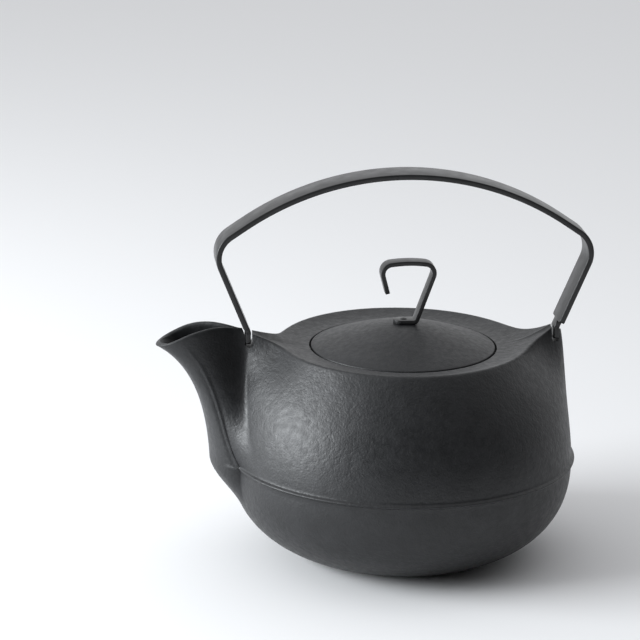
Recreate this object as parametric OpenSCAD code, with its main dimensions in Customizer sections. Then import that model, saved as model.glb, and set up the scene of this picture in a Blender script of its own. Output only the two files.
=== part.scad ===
// Cast iron kettle with an open beak spout, a flush lid and a flat-bar bail.
// Millimetres. +Z is up, the spout points along -X and the bail stands in the XZ plane.
// The origin is the centre of the flat foot, on the surface that the kettle stands on.

/* [Body] */
// Radius of the bowl at its widest, just behind the bead
ridge_r = 79.3; // [72:0.2:88]
// Height of the bead above the foot
ridge_z = 46; // [42:0.5:50]
// Depth of the bowl's full curve below the bead
bowl_depth = 50.8; // [50.2:0.2:56]
// Fullness of the bowl's curve: 2 is an ellipse, more is squarer
bowl_fullness = 2.5; // [2.1:0.05:2.9]
// Radius of the top edge at the front and back
crest_r = 56.5; // [54:0.2:60]
// Height of the top edge at the front and back
crest_z = 99.4; // [97:0.2:102]
// Extra height of the top edge at the two ears
ear_rise = 9; // [7.5:0.25:10]
// Reach of the rear ear from the centre
rear_ear_r = 72; // [71.8:0.1:74]
// Thickness of the casting
wall = 3; // [2.6:0.1:3.6]
// Height of the cast bead round the body
bead_h = 1.3; // [0.6:0.1:1.6]
// Width of the cast bead
bead_w = 2.6; // [2:0.1:4]

/* [Spout] */
// Reach of the spout's tip from the centre
tip_reach = 114.4; // [110:0.5:120]
// Height of the spout's tip
tip_z = 99.8; // [97:0.2:102]
// How far the keel under the spout stands out of the bowl at the bead
keel_out = 9.8; // [7:0.2:12]
// Half width of the spout's open leaf
leaf_half_w = 9.5; // [8:0.1:11]
// Wall of the spout at its lip
lip_wall = 2.2; // [1.8:0.1:2.6]

/* [Lid and seat] */
// Radius of the lid's edge
lid_r = 42.4; // [40:0.1:44]
// Gap round the lid in its seat
lid_gap = 0.7; // [0.3:0.1:1]
// Height of the dish where it meets the lid
dish_z = 97; // [96:0.25:97.5]
// Thickness of the lid's plate
lid_t = 2.8; // [2.4:0.1:3.4]
// Rise of the lid from its edge to its centre
lid_rise = 10.5; // [7:0.5:12]
// Radius of the mouth under the lid
mouth_r = 38.6; // [36:0.1:39]
// Gap between the lid's flange and the mouth
flange_gap = 0.8; // [0.5:0.1:1.5]
// Depth of the lid's flange below its plate
flange_h = 8; // [5:0.5:9]
// Thickness of the lid's flange
flange_t = 2.4; // [2:0.1:3]

/* [Knob] */
// Width of the knob's strip
knob_w = 7.4; // [6.5:0.1:9]
// Thickness of the knob's strip
knob_t = 2; // [1.7:0.1:2.4]
// Height of the knob above its pad
knob_h = 30; // [27:0.2:33]
// Reach of the knob's heel from the rivet
knob_heel = 6.4; // [6:0.1:7]
// Reach of the knob's round toe from the rivet
knob_toe = 4.8; // [4.2:0.1:5.4]
// Radius of the rivet's shank
rivet_r = 1.1; // [0.9:0.1:1.3]
// Clearance of the rivet in its holes
rivet_gap = 0.05; // [0.03:0.01:0.1]

/* [Bail] */
// Width of the flat bar
bar_w = 16.3; // [14:0.1:18]
// Thickness of the flat bar
bar_t = 2.5; // [2:0.1:3]
// Height of the bail's crown above the foot
bail_z = 179.4; // [172:0.2:188]
// Radius of the bail's arch, outside
arch_r = 132; // [126:1:140]
// Angle that the arch spans on each side of the crown
arch_half = 34; // [32:0.5:35]
// Lean of the legs from the vertical
leg_lean = 22.6; // [21.5:0.1:23.5]
// Outer bend radius at the shoulders
bend_r = 13.4; // [9:0.2:15]
// Width of the tongues in the ears
tongue_w = 7; // [6:0.2:8]
// Width of a slot in an ear
slot_w = 5; // [4.7:0.1:5.5]
// Height of a slot's round bottom above the foot
slot_floor = 98.5; // [97.5:0.1:99.5]
// Reach of the slots' outer walls from the centre
slot_reach = 72.9; // [72.6:0.05:73.2]
// Shift of the whole bail from the centre of the bowl
bail_shift = -0.4; // [-0.7:0.1:-0.2]
// Clearance of the tongues in the slots
tongue_gap = 0.2; // [0.1:0.05:0.3]

/* [Hidden] */

iron = [0.10, 0.105, 0.11];
steel = [0.07, 0.07, 0.075];
fine = 96;

// ---- curves ----
function mix(a, b, q) = a + (b - a) * q;
function smooth(q) = let (c = min(1, max(0, q))) c * c * (3 - 2 * c);
function bezier3(a, b, c, q) = mix(mix(a, b, q), mix(b, c, q), q);
function bezier4(a, b, c, d, q) = mix(bezier3(a, b, c, q), bezier3(b, c, d, q), q);
function unit(v) = v / norm(v);
function polar(r, a) = [r * cos(a), r * sin(a)];

// ---- body skin ----
// One half of the skin is drawn on the -Y side: column 0 runs up the rear, and the columns
// then go round the front to the spout's root, over its flank to the crease and over its keel.
n_body = 26;
n_flank = 7;
n_keel = 5;
n_half = n_body + n_flank + n_keel;
n_loop = 2 * n_half;
n_lid_loop = 2 * n_body + 1;

// Angles from the spout's direction at which its root and its crease leave the bead
root_angle = 21.6;
crease_angle = 15.1;
// Angle at which the root of the spout meets the top edge
root_angle_top = 1.4;
root_fade = 0.7;
// The columns crowd together at the ears
crowding = 0.75;
// How the sides lean in, and how sharply the ears are pinched out of the round top
dome_power = 1.73;
ear_pinch_rear = 6.5;
ear_pinch_front = 4.2;
pinch_spread = 40;
pinch_power = 1.2;
ear_nose = 1.5;
ear_spread = 5.8;
ear_lean = 5.7;
// The front ear stands this far inside the bead
front_ear_in = 2.45;
front_ear_r = ridge_r - front_ear_in;
// The keel fades into the bowl at this height
keel_fade_z = 24;
// The widest part of the leaf lies this far behind the tip and this far above it
leaf_back = 9.9;
leaf_rise = 4.8;

// Height of the top edge at an angle from the nearest ear
function crest_height(a) = crest_z + ear_rise * exp(-a / ear_spread);

// Side of the body: share v of the way round from the rear to the spout's root, share s
// of the way from the bead up to the top edge
function root_at(s) = mix(root_angle, root_angle_top, pow(s, root_fade));
function side_angle(v, s) = (180 - root_at(s)) * (v - crowding * s * sin(360 * v) / 360 * 180 / PI);
function side(v, s) =
    let (
        a = side_angle(v, s),
        front = (1 - cos(a)) / 2,
        off_axis = min(abs(a), 180 - a),
        dome = mix(ridge_r, crest_r, pow(s, dome_power)),
        rear = ridge_r - ear_lean * pow(s, 1.2) - (ridge_r - ear_lean - rear_ear_r) * pow(s, 12),
        ear = mix(rear, mix(ridge_r, front_ear_r, s), front),
        pinch = mix(ear_pinch_rear, ear_pinch_front, front) + pinch_spread * pow(1 - s, pinch_power),
        share = exp(-(sqrt(off_axis * off_axis + ear_nose * ear_nose) - ear_nose) / pinch),
        r = mix(dome, ear, share)
    )
    [r * cos(a), -r * sin(a), mix(ridge_z, crest_height(off_axis), s)];

// The spout's guide curves from the bead to the lip: its crease and its keel
crease_foot = concat(-ridge_r * [cos(crease_angle), sin(crease_angle)], ridge_z);
leaf_shoulder = [-(tip_reach - leaf_back), -leaf_half_w, tip_z + leaf_rise];
crease_foot_pull = [-10.2, 5, 14.8];
crease_lip_pull = [20.8, -1.6, -19.1];
function crease(s) = bezier4(
    crease_foot, crease_foot + crease_foot_pull,
    leaf_shoulder + crease_lip_pull, leaf_shoulder, s);
keel_foot = [-(ridge_r + keel_out), 0, ridge_z];
keel_bow = 2.8;
keel_drop = 11;
function keel(s) = bezier3(
    keel_foot, [keel_foot[0] - keel_bow, 0, tip_z - keel_drop], [-tip_reach, 0, tip_z], s);

// Flank of the spout between its root and its crease. It leaves the side smoothly low down
// and is pinched at the neck near the top.
neck_pull = [2.3, 3.7, 3.25];
leaf_swell = [2.7, -3.8, 5.7];
function flank(w, s) =
    let (
        root = side(1, s),
        edge = crease(s),
        grow = pow(s, 1.5),
        onward = root + norm(edge - root) / 3 * unit(root - side(0.98, s)),
        near = mix(onward, mix(root, edge, 1 / 3), s * s)
    )
    bezier4(root, near + grow * neck_pull, mix(root, edge, 2 / 3) + grow * leaf_swell, edge, w);

// Underside of the spout, rounded from the crease to the keel
function underside(w, s) =
    let (edge = crease(s), ridge = keel(s), q = sin(90 * w))
    [mix(edge[0], ridge[0], q), edge[1] * cos(90 * w), mix(edge[2], ridge[2], q)];

function above(k, s) =
    k <= n_body ? side(k / n_body, s)
    : k <= n_body + n_flank ? flank((k - n_body) / n_flank, s)
    : underside((k - n_body - n_flank) / n_keel, s);

// Bowl below the bead; s runs from 0 at the bead to -1 at the foot
function column_angle(k) =
    k <= n_body ? (180 - root_angle) * k / n_body
    : k <= n_body + n_flank ? 180 - mix(root_angle, crease_angle, (k - n_body) / n_flank)
    : 180 - crease_angle * (1 - (k - n_body - n_flank) / n_keel);
foot_turn = acos(pow(ridge_z / bowl_depth, bowl_fullness / 2));
function below(k, s) =
    let (
        turn = mix(90, foot_turn, -s),
        r = ridge_r * pow(sin(turn), 2 / bowl_fullness),
        z = ridge_z - bowl_depth * pow(max(0, cos(turn)), 2 / bowl_fullness),
        a = column_angle(k),
        top = above(k, 0),
        swell = smooth((z - keel_fade_z) / (ridge_z - keel_fade_z))
    )
    [r * cos(a) + swell * (top[0] - ridge_r * cos(a)),
     -r * sin(a) + swell * (top[1] + ridge_r * sin(a)), z];

function near_side(k, s) = s < 0 ? below(k, s) : above(k, s);
function mirrored(p) = [p[0], -p[1], p[2]];
function skin(i, s) =
    let (j = (i + n_loop) % n_loop)
    j <= n_half ? near_side(j, s) : mirrored(near_side(n_loop - j, s));

// Outward normal of the skin
function skin_normal(i, s) =
    let (h = 0.01, low = max(-1, s - h), high = min(1, s + h))
    unit(cross(skin(i, high) - skin(i, low), skin(i + 1, s) - skin(i - 1, s)));

// The bead round the body, which turns up along the spout's crease and fades there
bead_s = (bead_w / 2) / (crest_z - ridge_z);
bead_low_s = -(90 - acos(pow(bead_w / 2 / bowl_depth, bowl_fullness / 2))) / (90 - foot_turn);
bead_rows = [1, 0.55, 0, -0.55, -1];
// Share of the bead's full height on a column: it falls away over the crease
crease_share = 0.8;
keel_share = 0.25;
function bead_share(i) =
    let (past = (i <= n_half ? i : n_loop - i) - n_body - n_flank)
    past < 0 ? 1 : past == 0 ? crease_share : past == 1 ? keel_share : 0;
function bead_row(q) = [for (i = [0 : n_loop - 1])
    let (
        s = q >= 0 ? q * bead_s : abs(q) * bead_low_s,
        grow = bead_h * (1 + cos(180 * q)) / 2 * bead_share(i)
    )
    skin(i, s) + grow * skin_normal(i, 0)];
function on_crease(i) = i == n_body + n_flank || i == n_loop - n_body - n_flank;
function wall_row(s) = [for (i = [0 : n_loop - 1])
    skin(i, s) + (on_crease(i) && s > 0 ? crease_share * bead_h * pow(1 - s, 0.8) : 0) * skin_normal(i, s)];

bowl_rows = 10;
side_rows = 14;
outer_rows = concat(
    [for (j = [0 : bowl_rows - 1]) wall_row(mix(-1, -0.06, j / (bowl_rows - 1)))],
    [for (j = [len(bead_rows) - 1 : -1 : 0]) bead_row(bead_rows[j])],
    [for (j = [1 : side_rows]) wall_row(mix(bead_s, 1, j / side_rows))]);

// ---- dish, mouth and ceiling ----
seat_r = lid_r + lid_gap;
ledge_z = dish_z - lid_t;
ceiling_z = ledge_z - wall - 0.4;
dish_edge_r = seat_r + 1;
core_r = mouth_r - 4;
dish_rows = 5;
dish_power = 1.8;
function lid_loop_index(b) = b <= n_body ? b : n_loop - (n_lid_loop - b);
function rim_angle(b) = let (p = skin(lid_loop_index(b), 1)) atan2(p[1], p[0]);
function dish_row(q) = [for (b = [0 : n_lid_loop - 1])
    let (
        rim = skin(lid_loop_index(b), 1),
        edge = polar(dish_edge_r, rim_angle(b)),
        drop = 1 - pow(1 - q, dish_power)
    )
    [mix(rim[0], edge[0], q), mix(rim[1], edge[1], q), mix(rim[2], dish_z, drop)]];
function core_row(z) = [for (b = [0 : n_lid_loop - 1]) concat(polar(core_r, rim_angle(b)), z)];
lid_rows = concat(
    [for (j = [1 : dish_rows]) dish_row(j / dish_rows)],
    [core_row(dish_z), core_row(ceiling_z)]);

// ---- cavity ----
cavity_rows = 14;
// Share of a column at which the cavity ends: the ceiling round the body, the lip on the spout
function cavity_top(i) =
    let (k = i <= n_half ? i : n_loop - i)
    k > n_body ? 1
    : let (rim = skin(i, 1)) (ceiling_z - ridge_z) / (rim[2] - ridge_z);
function cavity_wall(i, s) =
    let (k = i <= n_half ? i : n_loop - i)
    k > n_body ? mix(wall, lip_wall, max(0, s)) : wall;
function cavity_point(i, q) =
    let (
        top = cavity_top(i),
        s = mix(top, -1, q),
        p = skin(i, s) - cavity_wall(i, s) * skin_normal(i, s)
    )
    q == 0 && top < 1 ? [p[0], p[1], ceiling_z]
    : q == 0 ? [p[0], p[1], skin(i, 1)[2]]
    : p;
inner_rows = [for (j = [0 : cavity_rows])
    [for (i = [0 : n_loop - 1]) cavity_point(i, j / cavity_rows)]];

// ---- the casting as one closed skin ----
function flatten(rows) = [for (row = rows) for (p = row) p];
function quad(a, b, c, d) = [[a, b, c], [a, c, d]];
// Strip between two loops of n points that start at a and b
function strip(a, b, n) = [for (i = [0 : n - 1])
    for (f = quad(a + i, a + (i + 1) % n, b + (i + 1) % n, b + i)) f];
// Strip between a short lid loop at b and a full loop at a
function lid_strip_up(a, b) = [for (i = [0 : n_lid_loop - 1])
    let (m = (i + 1) % n_lid_loop)
    for (f = quad(a + lid_loop_index(i), a + lid_loop_index(m), b + m, b + i)) f];
function lid_strip_down(b, a) = [for (i = [0 : n_lid_loop - 1])
    let (m = (i + 1) % n_lid_loop)
    for (f = quad(b + i, b + m, a + lid_loop_index(m), a + lid_loop_index(i))) f];
// Lip of the leaf between the outer and the inner skin, closed by the face of the front ear
function lip_strip(a, b) = concat(
    [for (i = [n_body : n_loop - n_body - 1]) for (f = quad(a + i, a + i + 1, b + i + 1, b + i)) f],
    quad(a + n_loop - n_body, a + n_body, b + n_body, b + n_loop - n_body));

module casting() {
    rim_at = (len(outer_rows) - 1) * n_loop;
    lid_at = len(outer_rows) * n_loop;
    core_at = lid_at + (len(lid_rows) - 1) * n_lid_loop;
    inner_at = lid_at + len(lid_rows) * n_lid_loop;
    floor_at = inner_at + cavity_rows * n_loop;
    polyhedron(
        points = concat(flatten(outer_rows), flatten(lid_rows), flatten(inner_rows)),
        faces = concat(
            [[for (i = [n_loop - 1 : -1 : 0]) i]],
            [for (j = [0 : len(outer_rows) - 2]) for (f = strip(j * n_loop, (j + 1) * n_loop, n_loop)) f],
            lid_strip_up(rim_at, lid_at),
            [for (j = [0 : len(lid_rows) - 2])
                for (f = strip(lid_at + j * n_lid_loop, lid_at + (j + 1) * n_lid_loop, n_lid_loop)) f],
            lid_strip_down(core_at, inner_at),
            lip_strip(rim_at, inner_at),
            [for (j = [0 : cavity_rows - 1])
                for (f = strip(inner_at + j * n_loop, inner_at + (j + 1) * n_loop, n_loop)) f],
            [[for (i = [0 : n_loop - 1]) floor_at + i]]),
        convexity = 8);
}

// Upright slot through an ear, open at the top, with a round bottom. Its outer wall leans out
// with the bail's leg from just under the bar's shoulders.
slot_mid = slot_reach - slot_w / 2;
// Heights above the crest at which the bar's full width ends over the rear and the front ear
rear_shoulder_rise = 5.6;
front_shoulder_rise = 8.9;
shoulder_z = crest_z + rear_shoulder_rise;
front_shoulder_z = crest_z + front_shoulder_rise;
lean_start_z = shoulder_z - 1.2;
post_z = shoulder_z - 1.4;
module ear_slot() {
    long_y = 40;
    top_z = crest_z + 20;
    round_z = slot_floor + slot_w / 2;
    translate([slot_mid, 0, round_z])
        rotate([90, 0, 0])
            cylinder(d = slot_w, h = long_y, center = true, $fn = fine);
    upright(long_y)
        polygon([
            [slot_mid - slot_w / 2, round_z],
            [slot_reach, round_z],
            [slot_reach, lean_start_z],
            [slot_reach + tan(leg_lean) * (top_z - lean_start_z), top_z],
            [slot_mid - slot_w / 2, top_z]]);
}

module kettle_body() {
    color(iron)
    difference() {
        casting();
        translate([0, 0, ledge_z])
            cylinder(r = seat_r, h = 30, $fn = fine);
        translate([0, 0, ceiling_z - 10])
            cylinder(r = mouth_r, h = 30, $fn = fine);
        translate([bail_shift, 0, 0]) {
            ear_slot();
            mirror([1, 0, 0]) ear_slot();
            // The rear ear's post stands a little lower than its crest
            translate([slot_mid, -bar_w, post_z])
                cube([bar_w, 2 * bar_w, bar_w]);
        }
    }
}

// ---- lid ----
pad_r = 5;
lid_edge_z = dish_z + 0.2;
lid_top_z = lid_edge_z + lid_rise;
lid_power = 1.35;
lid_steps = 14;
flange_r = mouth_r - flange_gap;
function lid_z(r) = lid_edge_z + lid_rise * (1 - pow(max(0, r - pad_r) / (lid_r - pad_r), lid_power));
module lid() {
    under_r = flange_r - flange_t;
    color(iron)
    difference() {
        rotate_extrude($fn = fine)
            polygon(concat(
                [[0, lid_top_z]],
                [for (j = [0 : lid_steps]) let (r = mix(pad_r, lid_r, j / lid_steps)) [r, lid_z(r)]],
                [[lid_r, ledge_z], [flange_r, ledge_z], [flange_r, ledge_z - flange_h],
                 [under_r, ledge_z - flange_h], [under_r, lid_z(under_r) - lid_t]],
                [for (j = [lid_steps - 2 : -1 : 0])
                    let (r = mix(pad_r, under_r, j / lid_steps)) [r, lid_z(r) - lid_t]],
                [[0, lid_top_z - lid_t]]));
        translate([0, 0, lid_top_z - 2 * lid_t])
            cylinder(r = rivet_r + rivet_gap, h = 3 * lid_t, $fn = 48);
    }
}

// ---- bent strips ----
// Outline of a strip of thickness t whose middle follows a line of points
function turn_right(v) = [v[1], -v[0]];
function way(path, i) = unit(path[min(i + 1, len(path) - 1)] - path[max(i - 1, 0)]);
function beside(path, d) = [for (i = [0 : len(path) - 1]) path[i] + d * turn_right(way(path, i))];
function reversed(list) = [for (i = [len(list) - 1 : -1 : 0]) list[i]];
function strip_outline(path, t) = concat(beside(path, -t / 2), reversed(beside(path, t / 2)));
// Arc of n steps round a centre from angle a to angle b
function arc(centre, r, a, b, n) = [for (i = [0 : n]) centre + polar(r, mix(a, b, i / n))];
// Rounded corner of radius r at b, on the way from a to c
bend_parts = 6;
function corner(a, b, c, r) =
    let (
        u = unit(a - b),
        v = unit(c - b),
        half = acos(u * v) / 2,
        centre = b + r / sin(half) * unit(u + v),
        from = b + r / tan(half) * u - centre,
        side = u[0] * v[1] - u[1] * v[0] > 0 ? -1 : 1,
        start = atan2(from[1], from[0])
    )
    [for (i = [0 : bend_parts]) centre + polar(r, start + side * (180 - 2 * half) * i / bend_parts)];
// Upright plate of a given width, from an outline in the XZ plane
module upright(width) {
    rotate([90, 0, 0])
        linear_extrude(width, center = true)
            children();
}

// ---- knob ----
// Reach of the knob's two top corners from the rivet, before they are rounded
knob_right = 16.1;
knob_left = 12.5;
// Height of the crown above the corners, and the drop and inset of the free tip
knob_crown = 0.9;
knob_tip_drop = 13.4;
knob_tip_inset = 3.6;
// Radii of the bends along the middle of the strip
knob_bend = 4.4;
knob_heel_bend = 1.6;
module knob_side() {
    half = knob_t / 2;
    corner_z = knob_h - knob_crown - half;
    left = [-knob_left + half, corner_z];
    right = [knob_right - half, corner_z];
    tip = left + [knob_tip_inset, -knob_tip_drop];
    crown = [(left[0] + right[0]) / 2, knob_h - half];
    heel = [knob_heel - half, half];
    toe = [knob_w / 2 - knob_toe, half];
    polygon(strip_outline(concat(
        [tip],
        corner(tip, left, crown, knob_bend),
        [crown],
        corner(crown, right, heel, knob_bend),
        corner(right, heel, toe, knob_heel_bend),
        [toe]), knob_t));
}

module lid_knob() {
    color(steel)
    translate([0, 0, lid_top_z])
    difference() {
        union() {
            upright(knob_w) knob_side();
            translate([knob_w / 2 - knob_toe, 0, 0])
                cylinder(d = knob_w, h = knob_t, $fn = fine);
        }
        translate([0, 0, -knob_t])
            cylinder(r = rivet_r + rivet_gap, h = 3 * knob_t, $fn = 48);
    }
}

// ---- rivet ----
washer_r = 4;
washer_t = 1;
rivet_head_r = 1.8;
rivet_head_h = 0.6;
// Low round head of radius r and height h, flat side down
module round_head(r, h) {
    ball_r = (r * r + h * h) / (2 * h);
    intersection() {
        translate([0, 0, h - ball_r]) sphere(r = ball_r, $fn = fine);
        cylinder(r = r + 1, h = h + 1, $fn = fine);
    }
}

rivet_top_z = lid_top_z + knob_t;
rivet_low_z = lid_top_z - lid_t - washer_t;
module knob_rivet() {
    color(steel) {
        translate([0, 0, rivet_low_z])
            cylinder(r = rivet_r, h = rivet_top_z - rivet_low_z, $fn = 48);
        translate([0, 0, rivet_top_z]) round_head(rivet_head_r, rivet_head_h);
        translate([0, 0, rivet_low_z]) mirror([0, 0, 1]) round_head(rivet_head_r, rivet_head_h);
    }
}

module rivet_washer() {
    color(steel)
    translate([0, 0, rivet_low_z])
    difference() {
        cylinder(r = washer_r, h = washer_t, $fn = fine);
        translate([0, 0, -washer_t])
            cylinder(r = rivet_r + rivet_gap, h = 3 * washer_t, $fn = 48);
    }
}

// ---- bail ----
arch_steps = 16;
bend_steps = 10;
// The legs' outer faces end at the slots' outer walls
leg_foot = [slot_reach - tongue_gap, shoulder_z];
arch_mid = [0, bail_z - arch_r];
arch_end = arch_mid + polar(arch_r, 90 - arch_half);
// Corner where the straight end of the arch would meet the line of the leg
corner_z = (arch_end[1] + tan(arch_half) * (arch_end[0] - leg_foot[0] + tan(leg_lean) * leg_foot[1]))
    / (1 + tan(arch_half) * tan(leg_lean));
corner_at = [leg_foot[0] + tan(leg_lean) * (corner_z - leg_foot[1]), corner_z];
bend_start = corner_at - bend_r * tan((90 + leg_lean - arch_half) / 2) * polar(1, -arch_half);
bend_mid = bend_start + bend_r * turn_right(polar(1, -arch_half));
// Right half of the bar's face at a depth d inside its outer face
function bail_face(d) = concat(
    arc(arch_mid, arch_r - d, 90, 90 - arch_half, arch_steps),
    arc(bend_mid, bend_r - d, 90 - arch_half, -leg_lean, bend_steps),
    [leg_foot - [d / cos(leg_lean), 0]]);
function flipped(list) = [for (p = list) [-p[0], p[1]]];
function tail(list) = [for (i = [1 : len(list) - 1]) list[i]];
module bail_side() {
    outer = concat(reversed(flipped(tail(bail_face(0)))), bail_face(0));
    inner = concat(reversed(flipped(tail(bail_face(bar_t)))), bail_face(bar_t));
    polygon(concat(outer, reversed(inner)));
}

// Tongue that hangs in an ear's slot, with a rounded head that bears on the outer wall
head_r = 1.6;
neck_t = 2.2;
module tongue_side() {
    reach = slot_reach - tongue_gap;
    head_z = slot_floor + slot_w / 2;
    translate([reach - head_r, head_z]) circle(r = head_r, $fn = fine);
    translate([reach - neck_t, head_z]) square([neck_t, shoulder_z + 0.6 - head_z]);
}

module handle() {
    color(steel)
    translate([bail_shift, 0, 0]) {
        difference() {
            upright(bar_w) bail_side();
            // The bar narrows to its tongue higher up over the front ear
            translate([-2 * slot_reach, -bar_w, 0])
                cube([2 * slot_reach, 2 * bar_w, front_shoulder_z]);
        }
        upright(tongue_w) {
            bail_side();
            tongue_side();
            mirror([1, 0]) tongue_side();
        }
    }
}

kettle_body();
handle();
lid();
lid_knob();
knob_rivet();
rivet_washer();
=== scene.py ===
"""Cast iron kettle with a beak spout, a flush lid and a flat-bar bail, dressed for rendering.

Metres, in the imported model's frame: +Z is up, the spout points along -X, the foot stands at z = 0.
"""

import math

import bmesh
import bpy
import numpy as np
from mathutils import Matrix, Vector


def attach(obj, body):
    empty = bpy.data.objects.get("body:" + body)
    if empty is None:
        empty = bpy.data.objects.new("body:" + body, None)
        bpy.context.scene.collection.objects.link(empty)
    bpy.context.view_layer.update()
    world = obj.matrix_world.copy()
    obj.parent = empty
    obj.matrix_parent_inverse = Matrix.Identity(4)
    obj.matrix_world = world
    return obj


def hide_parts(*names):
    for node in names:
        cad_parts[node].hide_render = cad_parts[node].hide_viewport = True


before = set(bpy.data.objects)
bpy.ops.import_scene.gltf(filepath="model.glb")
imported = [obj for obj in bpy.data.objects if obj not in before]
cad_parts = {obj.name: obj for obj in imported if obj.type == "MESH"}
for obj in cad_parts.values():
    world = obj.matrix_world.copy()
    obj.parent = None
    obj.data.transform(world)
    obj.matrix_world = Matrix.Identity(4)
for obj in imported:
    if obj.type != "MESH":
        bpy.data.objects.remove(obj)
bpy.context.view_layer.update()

MM = 0.001

# ---------------------------------------------------------------- sizes, in millimetres
# The casting
RIDGE_R, RIDGE_Z = 79.3, 46.0
BOWL_DEPTH, BOWL_FULLNESS = 50.8, 2.5
CREST_R, CREST_Z, EAR_RISE, REAR_EAR_R = 56.5, 99.4, 9.0, 72.0
WALL, LIP_WALL = 3.0, 2.2
BEAD_H, BEAD_W = 1.3, 2.6
TIP_REACH, TIP_Z, KEEL_OUT, LEAF_HALF_W = 114.4, 99.8, 9.8, 9.5
ROOT_ANGLE, CREASE_ANGLE, ROOT_ANGLE_TOP, ROOT_FADE, ROOT_FLARE = 31.6, 15.1, 1.4, 0.7, 10.0
CROWDING, DOME_POWER = 0.75, 1.73
EAR_PINCH_REAR, EAR_PINCH_FRONT, PINCH_SPREAD, PINCH_POWER = 6.5, 4.2, 40.0, 1.2
EAR_NOSE, EAR_SPREAD, EAR_LEAN = 1.5, 5.8, 5.7
FRONT_EAR_R = RIDGE_R - 2.45
KEEL_FADE_Z, LEAF_BACK, LEAF_RISE = 24.0, 9.9, 4.8
CREASE_FOOT_PULL, CREASE_LIP_PULL = (-10.2, 5.0, 14.8), (20.8, -1.6, -19.1)
KEEL_BOW, KEEL_DROP = 2.8, 11.0
NECK_PULL, LEAF_SWELL = (2.3, 3.7, 3.25), (2.7, -3.8, 5.7)
# The lid, its seat and the mouth
LID_R, LID_GAP, DISH_Z, LID_T, LID_RISE = 42.4, 0.7, 97.0, 2.8, 10.5
MOUTH_R, FLANGE_GAP, FLANGE_H, FLANGE_T = 38.6, 0.8, 8.0, 2.4
PAD_R, LID_POWER = 5.0, 1.35
SEAT_R, LEDGE_Z = LID_R + LID_GAP, DISH_Z - LID_T
CEILING_Z = LEDGE_Z - WALL - 0.4
LID_TOP_Z = DISH_Z + 0.2 + LID_RISE
# The knob, its rivet and the washer
KNOB_W, KNOB_T, KNOB_H, KNOB_HEEL, KNOB_TOE = 7.4, 2.0, 30.0, 6.4, 4.8
KNOB_RIGHT, KNOB_LEFT, KNOB_CROWN = 16.1, 12.5, 0.9
KNOB_TIP_DROP, KNOB_TIP_INSET, KNOB_BEND, KNOB_HEEL_BEND = 13.4, 3.6, 4.4, 1.6
RIVET_HOLE_R, WASHER_R, WASHER_T = 1.15, 4.0, 1.0
# The bail
BAR_W, BAR_T, BAIL_Z, ARCH_R, ARCH_HALF = 16.3, 2.5, 179.4, 132.0, 34.0
LEG_LEAN, BEND_R, BAIL_SHIFT = 22.6, 13.4, -0.4
SLOT_W, SLOT_FLOOR, SLOT_REACH, TONGUE_GAP, TONGUE_W = 3.8, 98.5, 72.9, 0.2, 7.0
REAR_SHOULDER_Z, FRONT_SHOULDER_Z = CREST_Z + 5.6, CREST_Z + 8.9
SHOULDER_R, BAR_EDGE, STRIP_EDGE, STRIP_TIP_R = 0.9, 0.45, 0.3, 0.7


# ---------------------------------------------------------------- small helpers
def sind(a):
    return np.sin(np.radians(a))


def cosd(a):
    return np.cos(np.radians(a))


def mix(a, b, q):
    return a + (b - a) * q


def smooth(q):
    q = np.clip(q, 0, 1)
    return q * q * (3 - 2 * q)


def bezier3(a, b, c, q):
    return mix(mix(a, b, q), mix(b, c, q), q)


def bezier4(a, b, c, d, q):
    return mix(bezier3(a, b, c, q), bezier3(b, c, d, q), q)


def xyz(x, y, z):
    return np.stack(np.broadcast_arrays(x, y, z), -1).astype(float)


def col(values):
    return np.asarray(values, float)[..., None]


def length(v):
    return np.linalg.norm(v, axis=-1, keepdims=True)


def mesh_object(name, points_mm, faces, edges=()):
    """A mesh object at the origin from points in millimetres."""
    mesh = bpy.data.meshes.new(name)
    mesh.from_pydata((np.asarray(points_mm) * MM).tolist(), list(edges), [list(f) for f in faces])
    mesh.update()
    obj = bpy.data.objects.new(name, mesh)
    bpy.context.scene.collection.objects.link(obj)
    return obj


def plain_mesh(obj):
    """Turns an object's live modifiers into its mesh and removes them."""
    graph = bpy.context.evaluated_depsgraph_get()
    mesh = bpy.data.meshes.new_from_object(obj.evaluated_get(graph))
    obj.modifiers.clear()
    obj.data = mesh
    mesh.name = obj.name
    return obj


def shade(obj, sharp_above=38):
    """Smooth faces, with edges sharper than the angle kept crisp."""
    mesh = obj.data
    mesh.polygons.foreach_set("use_smooth", [True] * len(mesh.polygons))
    mesh.set_sharp_from_angle(angle=math.radians(sharp_above))
    mesh.update()
    return obj


def outward(obj):
    """Merges doubles and turns every face outwards."""
    work = bmesh.new()
    work.from_mesh(obj.data)
    bmesh.ops.remove_doubles(work, verts=work.verts, dist=1e-7)
    bmesh.ops.recalc_face_normals(work, faces=work.faces)
    work.to_mesh(obj.data)
    work.free()
    return obj


# ---------------------------------------------------------------- the casting
# One half of the skin is drawn on the -Y side: column 0 runs up the rear, and the columns then
# go round the front to the spout's root, over its flank to the crease and over its keel.
N_BODY, N_FLANK, N_KEEL = 90, 18, 14
N_HALF = N_BODY + N_FLANK + N_KEEL
N_LOOP = 2 * N_HALF
BODY_V = np.linspace(0, 1, N_BODY + 1)[:, None]
# The columns stand closer together beside the crease
FLANK_W = (1 - (1 - np.arange(1, N_FLANK + 1) / N_FLANK) ** 1.6)[:, None]
KEEL_Q = ((np.arange(1, N_KEEL + 1) / N_KEEL) ** 1.5)[:, None]
ON_BODY, ON_FLANK = N_BODY + 1, N_BODY + 1 + N_FLANK
FOOT_TURN = math.degrees(math.acos((RIDGE_Z / BOWL_DEPTH) ** (BOWL_FULLNESS / 2)))


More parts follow.
